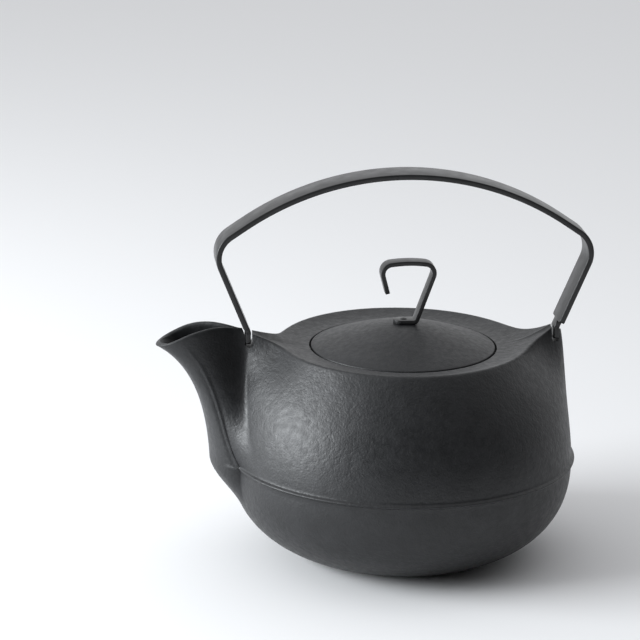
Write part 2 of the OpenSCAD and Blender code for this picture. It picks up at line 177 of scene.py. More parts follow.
def side(v, s):
    """Side of the body: v runs from the rear to the spout's root, s from the bead to the top."""
    root = mix(ROOT_ANGLE - ROOT_FLARE, ROOT_ANGLE_TOP, s**ROOT_FADE)
    root = root + ROOT_FLARE * (1 - s**2) ** 2.5
    a = (180 - root) * (v - CROWDING * s * np.sin(2 * np.pi * v) / (2 * np.pi))
    front = (1 - cosd(a)) / 2
    off_axis = np.minimum(np.abs(a), 180 - a)
    dome = mix(RIDGE_R, CREST_R, s**DOME_POWER)
    rear = RIDGE_R - EAR_LEAN * s**1.2 - (RIDGE_R - EAR_LEAN - REAR_EAR_R) * s**12
    ear = mix(rear, mix(RIDGE_R, FRONT_EAR_R, s), front)
    pinch = mix(EAR_PINCH_REAR, EAR_PINCH_FRONT, front) + PINCH_SPREAD * (1 - s) ** PINCH_POWER
    share = np.exp(-(np.sqrt(off_axis**2 + EAR_NOSE**2) - EAR_NOSE) / pinch)
    r = mix(dome, ear, share)
    crest = CREST_Z + EAR_RISE * np.exp(-off_axis / EAR_SPREAD)
    return xyz(r * cosd(a), -r * sind(a), mix(RIDGE_Z, crest, s))


def crease(s):
    foot = np.array([-RIDGE_R * cosd(CREASE_ANGLE), -RIDGE_R * sind(CREASE_ANGLE), RIDGE_Z])
    lip = np.array([-(TIP_REACH - LEAF_BACK), -LEAF_HALF_W, TIP_Z + LEAF_RISE])
    return bezier4(foot, foot + CREASE_FOOT_PULL, lip + CREASE_LIP_PULL, lip, col(s))


def keel(s):
    foot = np.array([-(RIDGE_R + KEEL_OUT), 0, RIDGE_Z])
    bow = np.array([foot[0] - KEEL_BOW, 0, TIP_Z - KEEL_DROP])
    return bezier3(foot, bow, np.array([-TIP_REACH, 0, TIP_Z]), col(s))


def flank(w, s):
    one = np.ones_like(s)
    root, before, edge, grow = side(one, s), side(0.98 * one, s), crease(s), col(s**1.5)
    onward = root + length(edge - root) / 3 * (root - before) / length(root - before)
    near = mix(onward, mix(root, edge, 1 / 3), col(s**2)) + grow * NECK_PULL
    far = mix(root, edge, 2 / 3) + grow * LEAF_SWELL
    return bezier4(root, near, far, edge, col(np.broadcast_to(w, s.shape)))


def underside(w, s):
    edge, ridge, q = crease(s), keel(s), sind(90 * w)
    return xyz(
        mix(edge[..., 0], ridge[..., 0], q),
        edge[..., 1] * cosd(90 * w),
        mix(edge[..., 2], ridge[..., 2], q),
    )


def above(s):
    over_flank, over_keel = s[ON_BODY:ON_FLANK], s[ON_FLANK:]
    return np.concatenate(
        [side(BODY_V, s[:ON_BODY]), flank(FLANK_W, over_flank), underside(KEEL_Q, over_keel)]
    )


def below(s):
    turn = mix(90, FOOT_TURN, -s)
    r = RIDGE_R * sind(turn) ** (2 / BOWL_FULLNESS)
    z = RIDGE_Z - BOWL_DEPTH * np.maximum(0, cosd(turn)) ** (2 / BOWL_FULLNESS)
    a = np.concatenate(
        [
            (180 - ROOT_ANGLE) * BODY_V,
            180 - mix(ROOT_ANGLE, CREASE_ANGLE, FLANK_W),
            180 - CREASE_ANGLE * (1 - KEEL_Q),
        ]
    )
    top = above(np.zeros((N_HALF + 1, 1)))
    swell = smooth((z - KEEL_FADE_Z) / (RIDGE_Z - KEEL_FADE_Z))
    return xyz(
        r * cosd(a) + swell * (top[..., 0] - RIDGE_R * cosd(a)),
        -r * sind(a) + swell * (top[..., 1] + RIDGE_R * sind(a)),
        z,
    )


def skin(s):
    """The whole loop of columns for shares s, given per row or per half column and row."""
    s = np.broadcast_to(np.asarray(s, float), (N_HALF + 1, np.shape(s)[-1]))
    half = np.where(col(s < 0), below(np.minimum(s, 0)), above(np.maximum(s, 0)))
    return np.concatenate([half, half[-2:0:-1] * [1, -1, 1]])


def across(points, reach=None):
    """Direction along each row, over the next columns or over a reach in millimetres each way."""
    if reach is None:
        return np.roll(points, -1, 0) - np.roll(points, 1, 0)
    steps = length(np.roll(points, -1, 0) - points)[..., 0]
    out = np.empty_like(points)
    for row in range(points.shape[1]):
        way = np.concatenate([[0], np.cumsum(steps[:, row])])
        ring = np.concatenate([points[:, row], points[:1, row]])
        for axis in range(3):
            ahead = np.interp(way[:-1] + reach, way, ring[:, axis], period=way[-1])
            behind = np.interp(way[:-1] - reach, way, ring[:, axis], period=way[-1])
            out[:, row, axis] = ahead - behind
    return out


def skin_normal(s, reach=None):
    h = 0.002
    s = np.asarray(s, float)
    rise = skin(np.minimum(1, s + h)) - skin(np.maximum(-1, s - h))
    normal = np.cross(rise, across(skin(s), reach))
    return normal / length(normal)


def per_column(half_values):
    """Repeats values of the half's columns round the whole loop."""
    half_values = np.asarray(half_values, float)
    return np.concatenate([half_values, half_values[-2:0:-1]])


BEAD_S = (BEAD_W / 2) / (CREST_Z - RIDGE_Z)
BEAD_LOW_TURN = math.degrees(math.acos((BEAD_W / 2 / BOWL_DEPTH) ** (BOWL_FULLNESS / 2)))
BEAD_LOW_S = -(90 - BEAD_LOW_TURN) / (90 - FOOT_TURN)
CREASE_SHARE, KEEL_SHARE = 0.8, 0.25
EDGE_S = 0.018  # share of a column that its rounded top edge takes
CREASE_COLUMN = N_BODY + N_FLANK
LID_LOOP = np.concatenate([np.arange(N_BODY + 1), np.arange(N_LOOP - N_BODY, N_LOOP)])


def outer_rows():
    """The outside from the foot up to the rounded edge, with the bead and the crease's ridge."""
    q = np.linspace(-1, 1, 11)
    bead_s = np.where(q < 0, -q * BEAD_LOW_S, q * BEAD_S)
    low = np.concatenate([np.linspace(-1, -0.06, 28), [-0.03]])
    high = np.linspace(BEAD_S, 1 - EDGE_S, 48)[1:]
    s = np.concatenate([low, bead_s, high])
    points, normal_at_bead = skin(s), skin_normal(np.zeros(1), reach=2.0)
    share = per_column(
        np.concatenate(
            [
                np.ones(ON_BODY),
                np.interp(FLANK_W[:, 0], [6 / 7, 1], [1, CREASE_SHARE]),
                np.interp(KEEL_Q[:, 0], [0, 0.2, 0.4], [CREASE_SHARE, KEEL_SHARE, 0]),
            ]
        )
    )
    grow = np.zeros(points.shape[:2])
    is_bead = slice(len(low), len(low) + len(q))
    grow[:, is_bead] = share[:, None] * BEAD_H * (1 + cosd(180 * q)) / 2
    direction = np.repeat(normal_at_bead, len(s), 1)
    # The ridge follows the crease up to the lip and thins out on the way
    crest_normal = skin_normal(s)[CREASE_COLUMN]
    half_width = BEAD_W / 2 + 0.2
    for column in range(CREASE_COLUMN - N_FLANK, CREASE_COLUMN + N_KEEL):
        between = points[min(column, CREASE_COLUMN) : max(column, CREASE_COLUMN) + 1]
        gap = np.linalg.norm(np.diff(between, axis=0), axis=-1).sum(0)
        ridge = CREASE_SHARE * BEAD_H * np.clip(1 - s, 0, 1) ** 0.8
        ridge = ridge * (1 + cosd(180 * np.minimum(1, gap / half_width))) / 2
        for here, flip in ((column, 1), (N_LOOP - column, -1)):
            rising = (s > 0) & (ridge > grow[here])
            grow[here, rising] = ridge[rising]
            on_side = rising & (s > BEAD_S)
            direction[here, on_side] = crest_normal[on_side] * (1, flip, 1)
    return points + grow[..., None] * direction


def dish_rows(shares):
    """Rows of the dish from the top edge down to the lid's seat, over the body's columns."""
    rim = skin(np.ones(1))[LID_LOOP]
    angle = np.arctan2(rim[..., 1], rim[..., 0])
    edge_r = SEAT_R + 1
    q = np.broadcast_to(shares, (len(LID_LOOP), np.shape(shares)[-1]))
    drop = 1 - (1 - q) ** 1.8
    return xyz(
        mix(rim[..., 0], edge_r * np.cos(angle), q),
        mix(rim[..., 1], edge_r * np.sin(angle), q),
        mix(rim[..., 2], DISH_Z, drop),
    ), angle


def inner_table():
    """The hollow's skin at even shares of every column."""
    s = np.linspace(-1, 1, 161)
    thick = np.full((N_HALF + 1, len(s)), WALL)
    thick[ON_BODY:] = mix(WALL, LIP_WALL, np.maximum(0, s))
    return s, skin(s) - col(per_column(thick)) * skin_normal(s, reach=3.0)


def casting_points():
    """All rows of the casting, and the faces that close it."""
    points, faces = [], []

    def add(rows):
        start = sum(len(p) for p in points)
        points.append(rows.reshape(-1, 3))
        return start + np.arange(rows.shape[0] * rows.shape[1]).reshape(rows.shape[:2])

    def weave(ids):
        """Faces between the columns of a sheet of point numbers, all the way round."""
        far = np.roll(ids, -1, 0)
        quads = np.stack([ids[:, :-1], far[:, :-1], far[:, 1:], ids[:, 1:]], -1)
        faces.extend(quads.reshape(-1, 4).tolist())

    outside = outer_rows()
    out_ids = add(outside)
    weave(out_ids)

    # Inner skin: under the ceiling all round the body, up to the lip on the spout
    rim = skin(np.ones(1))[:, 0]
    s_table, hollow = inner_table()
    on_body = per_column(np.arange(N_HALF + 1) <= N_BODY) > 0
    top = np.where(on_body, (CEILING_Z - RIDGE_Z) / (rim[:, 2] - RIDGE_Z), 1 - 1.6 * EDGE_S)
    shares = mix(top[:, None], -1, np.linspace(0, 1, 30))
    inside = np.empty(shares.shape + (3,))
    for column in range(N_LOOP):
        for axis in range(3):
            inside[column, :, axis] = np.interp(shares[column], s_table, hollow[column, :, axis])
    inside[on_body, 0, 2] = CEILING_Z
    in_ids = add(inside)
    weave(in_ids)

    # Dish, with the first row close behind the rounded edge
    reach = length(dish_rows(np.zeros(1))[0] - dish_rows(np.ones(1))[0])[..., 0]
    first = 1.0 / reach
    dish, angle = dish_rows(mix(first, 1, np.linspace(0, 1, 18)[None, :] ** 1.2))
    dish_ids = add(dish)
    weave(dish_ids)

    # Rounded top edge of the body and rounded lip of the leaf
    q = np.linspace(0, 1, 8)[1:-1][None, :, None]
    lip_in = rim - LIP_WALL * skin_normal(np.ones(1), reach=3.0)[:, 0]
    lip_in[:, 2] = rim[:, 2]
    start = outside[:, -1:]
    lip = bezier4(start, rim[:, None], lip_in[:, None], inside[:, :1], q)
    lip[LID_LOOP] = bezier3(start[LID_LOOP], rim[LID_LOOP, None], dish[:, :1], q)
    lip_ids = add(lip)
    last = in_ids[:, :1].copy()
    last[LID_LOOP] = dish_ids[:, :1]
    weave(np.concatenate([out_ids[:, -1:], lip_ids, last], 1))

    # Face of the front ear over the spout's root
    left, right = N_BODY, N_LOOP - N_BODY
    dish_left, dish_right = dish_ids[N_BODY, 0], dish_ids[N_BODY + 1, 0]
    faces.append([dish_left, in_ids[left + 1, 0], in_ids[left, 0]])
    faces.append([dish_right, in_ids[right, 0], in_ids[right - 1, 0]])
    faces.append([dish_right, dish_left, in_ids[left, 0], in_ids[right, 0]])

    # Seat, ledge, mouth and ceiling
    steps = [
        (SEAT_R + 0.45, DISH_Z),
        (SEAT_R + 0.15, DISH_Z - 0.08),
        (SEAT_R, DISH_Z - 0.4),
        (SEAT_R, LEDGE_Z + 0.15),
        (SEAT_R - 0.15, LEDGE_Z),
        (MOUTH_R + 0.4, LEDGE_Z),
        (MOUTH_R, LEDGE_Z - 0.4),
        (MOUTH_R, CEILING_Z),
    ]
    seat = np.concatenate([xyz(r * np.cos(angle), r * np.sin(angle), z) for r, z in steps], 1)
    seat_ids = add(seat)
    weave(np.concatenate([dish_ids[:, -1:], seat_ids, in_ids[LID_LOOP, :1]], 1))

    # Foot and floor
    faces.append(out_ids[:, 0].tolist())
    faces.append(in_ids[:, -1].tolist())
    return np.concatenate(points), faces


def prism(name, outline, half_width):
    """Upright plate from an outline in the XZ plane, as a cutter."""
    n = len(outline)
    near = [(x, -half_width, z) for x, z in outline]
    far = [(x, half_width, z) for x, z in outline]
    faces = [list(range(n)), list(range(2 * n - 1, n - 1, -1))]
    faces += [[i, (i + 1) % n, n + (i + 1) % n, n + i] for i in range(n)]
    return outward(mesh_object(name, near + far, faces))


def cut(obj, cutters):
    """Exact difference of a piece and its cutters."""
    for tool in cutters:
        step = obj.modifiers.new("cut", "BOOLEAN")
        step.operation, step.solver, step.object = "DIFFERENCE", "EXACT", tool
    plain_mesh(obj)
    for tool in cutters:
        bpy.data.objects.remove(tool)
    return obj


def slot_outline(direction):
    mid = SLOT_REACH - SLOT_W / 2
    round_z, lean_z, top_z = SLOT_FLOOR + SLOT_W / 2, REAR_SHOULDER_Z - 1.2, CREST_Z + 20
    lean = math.tan(math.radians(LEG_LEAN)) * (top_z - lean_z)
    r = SLOT_W / 2
    around = [(mid + r * cosd(a), round_z + r * sind(a)) for a in range(180, 361, 15)]
    outline = around + [(SLOT_REACH, lean_z), (SLOT_REACH + lean, top_z), (mid - r, top_z)]
    return [(direction * x + BAIL_SHIFT, z) for x, z in outline]


def make_casting():
    obj = outward(mesh_object("cast_kettle", *casting_points()))
    post_x, post_z = SLOT_REACH - SLOT_W / 2 + BAIL_SHIFT, REAR_SHOULDER_Z - 1.4
    far_x, far_z = post_x + BAR_W, post_z + BAR_W
    post = [(post_x, post_z), (far_x, post_z), (far_x, far_z), (post_x, far_z)]
    cutters = [
        prism("rear_slot", slot_outline(1), 20),
        prism("front_slot", slot_outline(-1), 20),
        prism("rear_post_top", post, BAR_W),
    ]
    return shade(cut(obj, cutters), 40)


# ---------------------------------------------------------------- turned pieces
def turned(name, profile, steps=144):
    """A closed piece from a profile of (radius, height) that goes round the axis."""
    closed = min(r for r, z in profile) > 0
    points, faces, rings = [], [], []
    for r, z in profile:
        rings.append(len(points))
        turn = np.arange(steps) * 2 * math.pi / steps if r > 0 else np.zeros(1)
        points += list(xyz(r * np.cos(turn), r * np.sin(turn), z))
    pairs = list(zip(range(len(profile)), range(1, len(profile))))
    if closed:
        pairs.append((len(profile) - 1, 0))
    for a, b in pairs:
        for i in range(steps):
            j = (i + 1) % steps
            low = [rings[a] + i, rings[a] + j] if profile[a][0] > 0 else [rings[a]]
            high = [rings[b] + j, rings[b] + i] if profile[b][0] > 0 else [rings[b]]
            faces.append(low + high)
    return outward(mesh_object(name, points, faces))


def rounded(profile, radius, parts=4):
    """Rounds every corner of a closed profile; radius is one value for each corner."""
    out, n = [], len(profile)
    for i in range(n):
        a, b, c = (Vector(profile[k % n]) for k in (i - 1, i, i + 1))
        if radius[i] <= 0:
            out.append(tuple(b))
            continue
        start, end = b + (a - b).normalized() * radius[i], b + (c - b).normalized() * radius[i]
        for q in np.linspace(0, 1, parts + 1):
            out.append(tuple(bezier3(start, b, end, float(q))))
    return out


def lid_height(r):
    return DISH_Z + 0.2 + LID_RISE * (1 - (np.maximum(0, r - PAD_R) / (LID_R - PAD_R)) ** LID_POWER)


def make_lid():
    flange_r = MOUTH_R - FLANGE_GAP
    under_r, low_z = flange_r - FLANGE_T, LEDGE_Z - FLANGE_H
    top = [(float(r), float(lid_height(r))) for r in np.linspace(PAD_R, LID_R, 40)[:-1]]
    under = [(float(r), float(lid_height(r)) - LID_T) for r in np.linspace(under_r, PAD_R, 30)[1:]]
    corners = [
        ((RIVET_HOLE_R, LID_TOP_Z), 0),
        *((p, 0) for p in top),
        ((LID_R, float(lid_height(LID_R))), 0.5),
        ((LID_R, LEDGE_Z), 0.35),
        ((flange_r, LEDGE_Z), 0.3),
        ((flange_r, low_z), 0.6),
        ((under_r, low_z), 0.6),
        ((under_r, float(lid_height(under_r)) - LID_T), 0.8),
        *((p, 0) for p in under),
        ((RIVET_HOLE_R, LID_TOP_Z - LID_T), 0),
    ]
    profile = rounded([c[0] for c in corners], [c[1] for c in corners])
    return shade(turned("lid_casting", profile, 192), 50)


def make_rivet():
    """Shank with a low round head above the knob's foot and one under the washer."""
    head_r, head_h, shank_r = 1.8, 0.6, 1.1
    top_z, low_z = LID_TOP_Z + KNOB_T, LID_TOP_Z - LID_T - WASHER_T
    ball = (head_r**2 + head_h**2) / (2 * head_h)
    span = math.degrees(math.asin(head_r / ball))
    turn = np.linspace(0, span, 7)
    cap = [(ball * float(sind(a)), ball * float(cosd(a)) - ball + head_h) for a in turn]
    cap[0] = (0.0, head_h)
    profile = [(r, top_z + z) for r, z in cap] + [(shank_r, top_z), (shank_r, low_z)]
    profile += [(r, low_z - z) for r, z in reversed(cap)]
    return shade(turned("rivet", profile, 40), 40)


def make_washer():
    top_z = LID_TOP_Z - LID_T
    low_z = top_z - WASHER_T
    corners = [(RIVET_HOLE_R, top_z), (WASHER_R, top_z), (WASHER_R, low_z), (RIVET_HOLE_R, low_z)]
    return shade(turned("tail_washer", rounded(corners, [0.1, 0.2, 0.25, 0.1]), 64), 50)


# ---------------------------------------------------------------- bent flat bars
def arc(mid, r, start, end, n):
    turn = np.linspace(start, end, n + 1)
    return [Vector((mid[0] + r * cosd(a), mid[1] + r * sind(a))) for a in turn]


def corner(a, b, c, r, n=14):
    """Rounded corner of radius r at b on the way from a to c."""
    a, b, c = Vector(a), Vector(b), Vector(c)
    u, v = (a - b).normalized(), (c - b).normalized()
    half = math.degrees(math.acos(u.dot(v))) / 2
    centre = b + (u + v).normalized() * (r / float(sind(half)))
    start = b + u * (r / math.tan(math.radians(half))) - centre
    turn = math.degrees(math.atan2(start.y, start.x))
    way = -1 if u.x * v.y - u.y * v.x > 0 else 1
    return arc(centre, r, turn, turn + way * (180 - 2 * half), n)


def path_object(name, stations):
    """A chain of points (x, z, half width) as a mesh that the bent bar tree follows."""
    points = [(x, 0.0, z) for x, z, half_width in stations]
    obj = mesh_object(name, points, [], [(i, i + 1) for i in range(len(points) - 1)])
    width = obj.data.attributes.new("half_width", "FLOAT", "POINT")
    width.data.foreach_set("value", [half_width * MM for x, z, half_width in stations])
    return obj


def bent_bar_tree():
    """A flat bar with rounded edges that follows a path, as wide as the path says."""
    tree = bpy.data.node_groups.new("bent flat bar", "GeometryNodeTree")
    face = tree.interface
    face.new_socket("Path", in_out="INPUT", socket_type="NodeSocketGeometry")
    for label in ("Width", "Thickness", "Edge"):
        face.new_socket(label, in_out="INPUT", socket_type="NodeSocketFloat")
    face.new_socket("Finish", in_out="INPUT", socket_type="NodeSocketMaterial")
    face.new_socket("Bar", in_out="OUTPUT", socket_type="NodeSocketGeometry")
    new, join = tree.nodes.new, tree.links.new
    given, made = new("NodeGroupInput"), new("NodeGroupOutput")

    to_curve = new("GeometryNodeMeshToCurve")
    join(given.outputs["Path"], to_curve.inputs["Mesh"])
    normals = new("GeometryNodeSetCurveNormal")
    normals.mode = "FREE"
    normals.inputs["Normal"].default_value = (0, 1, 0)
    join(to_curve.outputs["Curve"], normals.inputs["Curve"])

    section = new("GeometryNodeCurvePrimitiveQuadrilateral")
    join(given.outputs["Width"], section.inputs["Width"])
    join(given.outputs["Thickness"], section.inputs["Height"])
    soft = new("GeometryNodeFilletCurve")
    soft.mode = "POLY"
    soft.inputs["Count"].default_value = 3
    join(section.outputs["Curve"], soft.inputs["Curve"])
    join(given.outputs["Edge"], soft.inputs["Radius"])

    sweep = new("GeometryNodeCurveToMesh")
    sweep.inputs["Fill Caps"].default_value = True
    join(normals.outputs["Curve"], sweep.inputs["Curve"])
    join(soft.outputs["Curve"], sweep.inputs["Profile Curve"])

    # Draw each side in from the full width to the path's own half width
    place, split = new("GeometryNodeInputPosition"), new("ShaderNodeSeparateXYZ")
    join(place.outputs["Position"], split.inputs["Vector"])
    width = new("GeometryNodeInputNamedAttribute")
    width.data_type = "FLOAT"
    width.inputs["Name"].default_value = "half_width"

    def maths(operation, *values):
        node = new("ShaderNodeMath")
        node.operation = operation
        for socket, value in zip(node.inputs, values):
            if isinstance(value, (int, float)):
                socket.default_value = value
            else:
                join(value, socket)
        return node.outputs["Value"]

    half_bar = maths("MULTIPLY", given.outputs["Width"], 0.5)
    narrower = maths("SUBTRACT", half_bar, width.outputs["Attribute"])
    inset = maths("MAXIMUM", maths("SUBTRACT", maths("ABSOLUTE", split.outputs["Y"]), narrower), 0.0)
    moved, pull = new("ShaderNodeCombineXYZ"), new("GeometryNodeSetPosition")
    join(split.outputs["X"], moved.inputs["X"])
    join(maths("MULTIPLY", maths("SIGN", split.outputs["Y"]), inset), moved.inputs["Y"])
    join(split.outputs["Z"], moved.inputs["Z"])
    join(sweep.outputs["Mesh"], pull.inputs["Geometry"])
    join(moved.outputs["Vector"], pull.inputs["Position"])

    real, finish = new("GeometryNodeRealizeInstances"), new("GeometryNodeSetMaterial")
    join(pull.outputs["Geometry"], real.inputs["Geometry"])
    join(real.outputs["Geometry"], finish.inputs["Geometry"])
    join(given.outputs["Finish"], finish.inputs["Material"])
    join(finish.outputs["Geometry"], made.inputs["Bar"])
    return tree


def bent_bar(name, stations, width, thickness, edge, finish):
    obj = path_object(name, stations)
    bend = obj.modifiers.new("bend", "NODES")
    bend.node_group = BENT_BAR
    values = {"Width": width * MM, "Thickness": thickness * MM, "Edge": edge * MM, "Finish": finish}
    for item in BENT_BAR.interface.items_tree:
        if item.in_out == "INPUT" and item.name in values:
            bend[item.identifier] = values[item.name]
    plain_mesh(obj)
    if "half_width" in obj.data.attributes:
        obj.data.attributes.remove(obj.data.attributes["half_width"])
    return shade(outward(obj), 50)


def way_along(path):
    """Length along a path at each of its points."""
    way = [0.0]
    for a, b in zip(path, path[1:]):
        way.append(way[-1] + (b - a).length)
    return way


def stepped(path, widths):
    """Stations of a path whose half width changes at given lengths along it."""
    way = way_along(path)
    at = sorted(set(way) | {w[0] for w in widths if 0 < w[0] < way[-1]})
    xs, zs = [p[0] for p in path], [p[1] for p in path]
    far, half = [w[0] for w in widths], [w[1] for w in widths]
    return [(np.interp(t, way, xs), np.interp(t, way, zs), float(np.interp(t, far, half))) for t in at]


def quarter(parts):
    """Angles of a quarter turn, in radians."""
    return np.linspace(0, math.pi / 2, parts + 1)


def rounded_end(half, r):
    """Half widths at a bar's end whose corners have a radius r."""
    return [(r * (1 - math.cos(a)), half - r * (1 - math.sin(a))) for a in quarter(4)]


def shoulder(at, wide, narrow, r, way):
    """Half widths past a bar's shoulder, whose outer corner has a radius r; way is 1 or -1."""
    turn = [(at - way * r * (1 - math.sin(a)), wide - r * (1 - math.cos(a))) for a in quarter(5)]
    return turn + [(at + way * 0.02, narrow + 0.4), (at + way * 0.4, narrow)]


def make_bail(finish):
    """The bar from the front tongue over the arch to the rear tongue, along its middle."""
    half = BAR_T / 2
    lean = math.tan(math.radians(LEG_LEAN))
    foot = Vector((SLOT_REACH - TONGUE_GAP, REAR_SHOULDER_Z))
    mid = Vector((0, BAIL_Z - ARCH_R))
    end = arc(mid, ARCH_R, 90 - ARCH_HALF, 90 - ARCH_HALF, 1)[0]
    slope = math.tan(math.radians(ARCH_HALF))
    top_z = (end.y + slope * (end.x - foot.x + lean * foot.y)) / (1 + slope * lean)
    top = Vector((foot.x + lean * (top_z - foot.y), top_z))
    along = Vector((cosd(ARCH_HALF), -sind(ARCH_HALF)))
    bend = top - along * (BEND_R * math.tan(math.radians((90 + LEG_LEAN - ARCH_HALF) / 2)))
    bend_mid = bend + BEND_R * Vector((along.y, -along.x))
    right = arc(mid, ARCH_R - half, 90, 90 - ARCH_HALF, 40)
    right += arc(bend_mid, BEND_R - half, 90 - ARCH_HALF, -LEG_LEAN, 20)
    right.append(Vector((foot.x - half / float(cosd(LEG_LEAN)), foot.y)))
    right += [Vector((foot.x - half, foot.y - 1)), Vector((foot.x - half, SLOT_FLOOR + 1.1))]
    path = [Vector((-p.x, p.y)) for p in reversed(right)] + right[1:]
    path = [Vector((p.x + BAIL_SHIFT, p.y)) for p in path]

    def length_at(points, z):
        run = 0.0
        for a, b in zip(points, points[1:]):
            if (a.y - z) * (b.y - z) <= 0 and a.y != b.y:
                return run + (b - a).length * (z - a.y) / (b.y - a.y)
            run += (b - a).length
        return run

    total = way_along(path)[-1]
    front = length_at(path, FRONT_SHOULDER_Z)
    rear = total - length_at(path[::-1], REAR_SHOULDER_Z)
    narrow, wide, tip = TONGUE_W / 2, BAR_W / 2, 1.2
    nose = rounded_end(narrow, tip)
    widths = [
        *nose,
        *shoulder(front, wide, narrow, SHOULDER_R, -1)[::-1],
        *shoulder(rear, wide, narrow, SHOULDER_R, 1),
    ]
    # All of it is mirrored about the bar's middle, so the rear shoulder stands as far from its
    # end as the front one, some 3 mm above the ear
    widths += [(total - t, h) for t, h in reversed(widths)]
    return bent_bar("bail", stepped(path, widths), BAR_W, BAR_T, BAR_EDGE, finish)


def make_knob(finish):
    """The strip from its free tip over the crown and down to the round foot."""
    half = KNOB_T / 2
    corner_z = KNOB_H - KNOB_CROWN - half
    left, right = Vector((half - KNOB_LEFT, corner_z)), Vector((KNOB_RIGHT - half, corner_z))
    tip = left + Vector((KNOB_TIP_INSET, -KNOB_TIP_DROP))
    crown = Vector(((left.x + right.x) / 2, KNOB_H - half))
    heel, foot = Vector((KNOB_HEEL - half, half)), Vector((KNOB_W / 2 - KNOB_TOE, half))
    first, second = corner(tip, left, crown, KNOB_BEND), corner(crown, right, heel, KNOB_BEND)
    pull = crown + (crown - (first[-1] + second[0]) / 2)
    top = [bezier3(first[-1], pull, second[0], q) for q in np.linspace(0, 1, 14)[1:-1]]
    path = [tip, *first, *top, *second, *corner(right, heel, foot, KNOB_HEEL_BEND)]
    turn = np.linspace(0, 84, 14)
    path += [Vector((foot.x - KNOB_W / 2 * sind(a), half)) for a in turn]
    way = way_along(path)
    toe = [(w, KNOB_W / 2 * float(cosd(a))) for w, a in zip(way[-len(turn) :], turn)]
    widths = rounded_end(KNOB_W / 2, STRIP_TIP_R) + toe
    stations = [(x, z + LID_TOP_Z, w) for x, z, w in stepped(path, widths)]
    obj = bent_bar("knob_strip", stations, KNOB_W, KNOB_T, STRIP_EDGE, finish)
    low_z, high_z = LID_TOP_Z - 1, LID_TOP_Z + 4
    drill = [(0, low_z), (RIVET_HOLE_R, low_z), (RIVET_HOLE_R, high_z), (0, high_z)]
    hole = turned("rivet_hole", drill, 48)
    return shade(cut(obj, [hole]), 50)


# ---------------------------------------------------------------- finishes
def finish_nodes(name, base, roughness, specular):
    """A new material with its shader and object coordinates."""
    mat = bpy.data.materials.new(name)
    mat.use_nodes = True
    mat.diffuse_color = (*base, 1)
    tree = mat.node_tree
    shader = tree.nodes["Principled BSDF"]
    shader.inputs["Base Color"].default_value = (*base, 1)
    shader.inputs["Roughness"].default_value = roughness
    shader.inputs["Specular IOR Level"].default_value = specular
    coords = tree.nodes.new("ShaderNodeTexCoord")
    return mat, tree, shader, coords.outputs["Object"]


def noise_at(tree, coords, cell_mm, detail=2.0, stretch=(1, 1, 1), w=0.0):
    """Noise with cells of a given size in millimetres."""
    place = tree.nodes.new("ShaderNodeMapping")
    place.inputs["Scale"].default_value = stretch
    place.inputs["Location"].default_value = (w, w, w)
    pattern = tree.nodes.new("ShaderNodeTexNoise")
    pattern.inputs["Scale"].default_value = 1000 / cell_mm
    pattern.inputs["Detail"].default_value = detail
    tree.links.new(coords, place.inputs["Vector"])
    tree.links.new(place.outputs["Vector"], pattern.inputs["Vector"])
    return pattern.outputs["Fac"]


def bumped(tree, height, depth_mm, under=None):
    """Relief of a given depth over an earlier relief."""
    relief = tree.nodes.new("ShaderNodeBump")
    relief.inputs["Strength"].default_value = 1.0
    relief.inputs["Distance"].default_value = depth_mm * MM
    tree.links.new(height, relief.inputs["Height"])
    if under is not None:
        tree.links.new(under, relief.inputs["Normal"])
    return relief.outputs["Normal"]


def spread(tree, value, low, high, out_low, out_high):
    ranged = tree.nodes.new("ShaderNodeMapRange")
    labels = ("From Min", "From Max", "To Min", "To Max")
    for label, number in zip(labels, (low, high, out_low, out_high)):
        ranged.inputs[label].default_value = number
    tree.links.new(value, ranged.inputs["Value"])
    return ranged.outputs["Result"]


def tinted(tree, value, low, high, dark, light):
    """Colour that goes from dark to light with a value."""
    blend = tree.nodes.new("ShaderNodeMix")
    blend.data_type = "RGBA"
    blend.inputs["A"].default_value = (*dark, 1)
    blend.inputs["B"].default_value = (*light, 1)
    tree.links.new(spread(tree, value, low, high, 0, 1), blend.inputs["Factor"])
    return blend.outputs["Result"]


def cast_iron(name, dark, light, rough, grain_mm, grain_depth):
    """Matte black cast iron: orange-peel grain, soft waves of the mould and faint pores."""
    base = tuple((a + b) / 2 for a, b in zip(dark, light))
    mat, tree, shader, coords = finish_nodes(name, base, rough, 0.5)
    join = tree.links.new
    grain = noise_at(tree, coords, grain_mm, 2.5)
    sand = noise_at(tree, coords, grain_mm * 2.7, 2.0, w=0.3)
    wave = noise_at(tree, coords, 14, 1.0, w=0.7)
    relief = bumped(tree, wave, 0.25)
    relief = bumped(tree, sand, grain_depth * 1.3, relief)
    relief = bumped(tree, grain, grain_depth, relief)
    join(relief, shader.inputs["Normal"])
    patches = noise_at(tree, coords, 9, 4.0, w=1.3)
    join(tinted(tree, patches, 0.3, 0.7, dark, light), shader.inputs["Base Color"])
    join(spread(tree, sand, 0.3, 0.7, rough - 0.06, rough + 0.07), shader.inputs["Roughness"])
    return mat


def black_steel(name, dark, light, rough, along):
    """Satin black forged steel: fine scale, with faint marks along the bar."""
    base = tuple((a + b) / 2 for a, b in zip(dark, light))
    mat, tree, shader, coords = finish_nodes(name, base, rough, 0.5)
    join = tree.links.new
    scale = noise_at(tree, coords, 0.8, 2.0)
    marks = noise_at(tree, coords, 3.0, 2.0, stretch=along, w=0.5)
    relief = bumped(tree, marks, 0.05)
    relief = bumped(tree, scale, 0.012, relief)
    join(relief, shader.inputs["Normal"])
    patches = noise_at(tree, coords, 6, 3.0, w=2.1)
    join(tinted(tree, patches, 0.3, 0.7, dark, light), shader.inputs["Base Color"])
    join(spread(tree, patches, 0.3, 0.7, rough + 0.05, rough - 0.05), shader.inputs["Roughness"])
    return mat


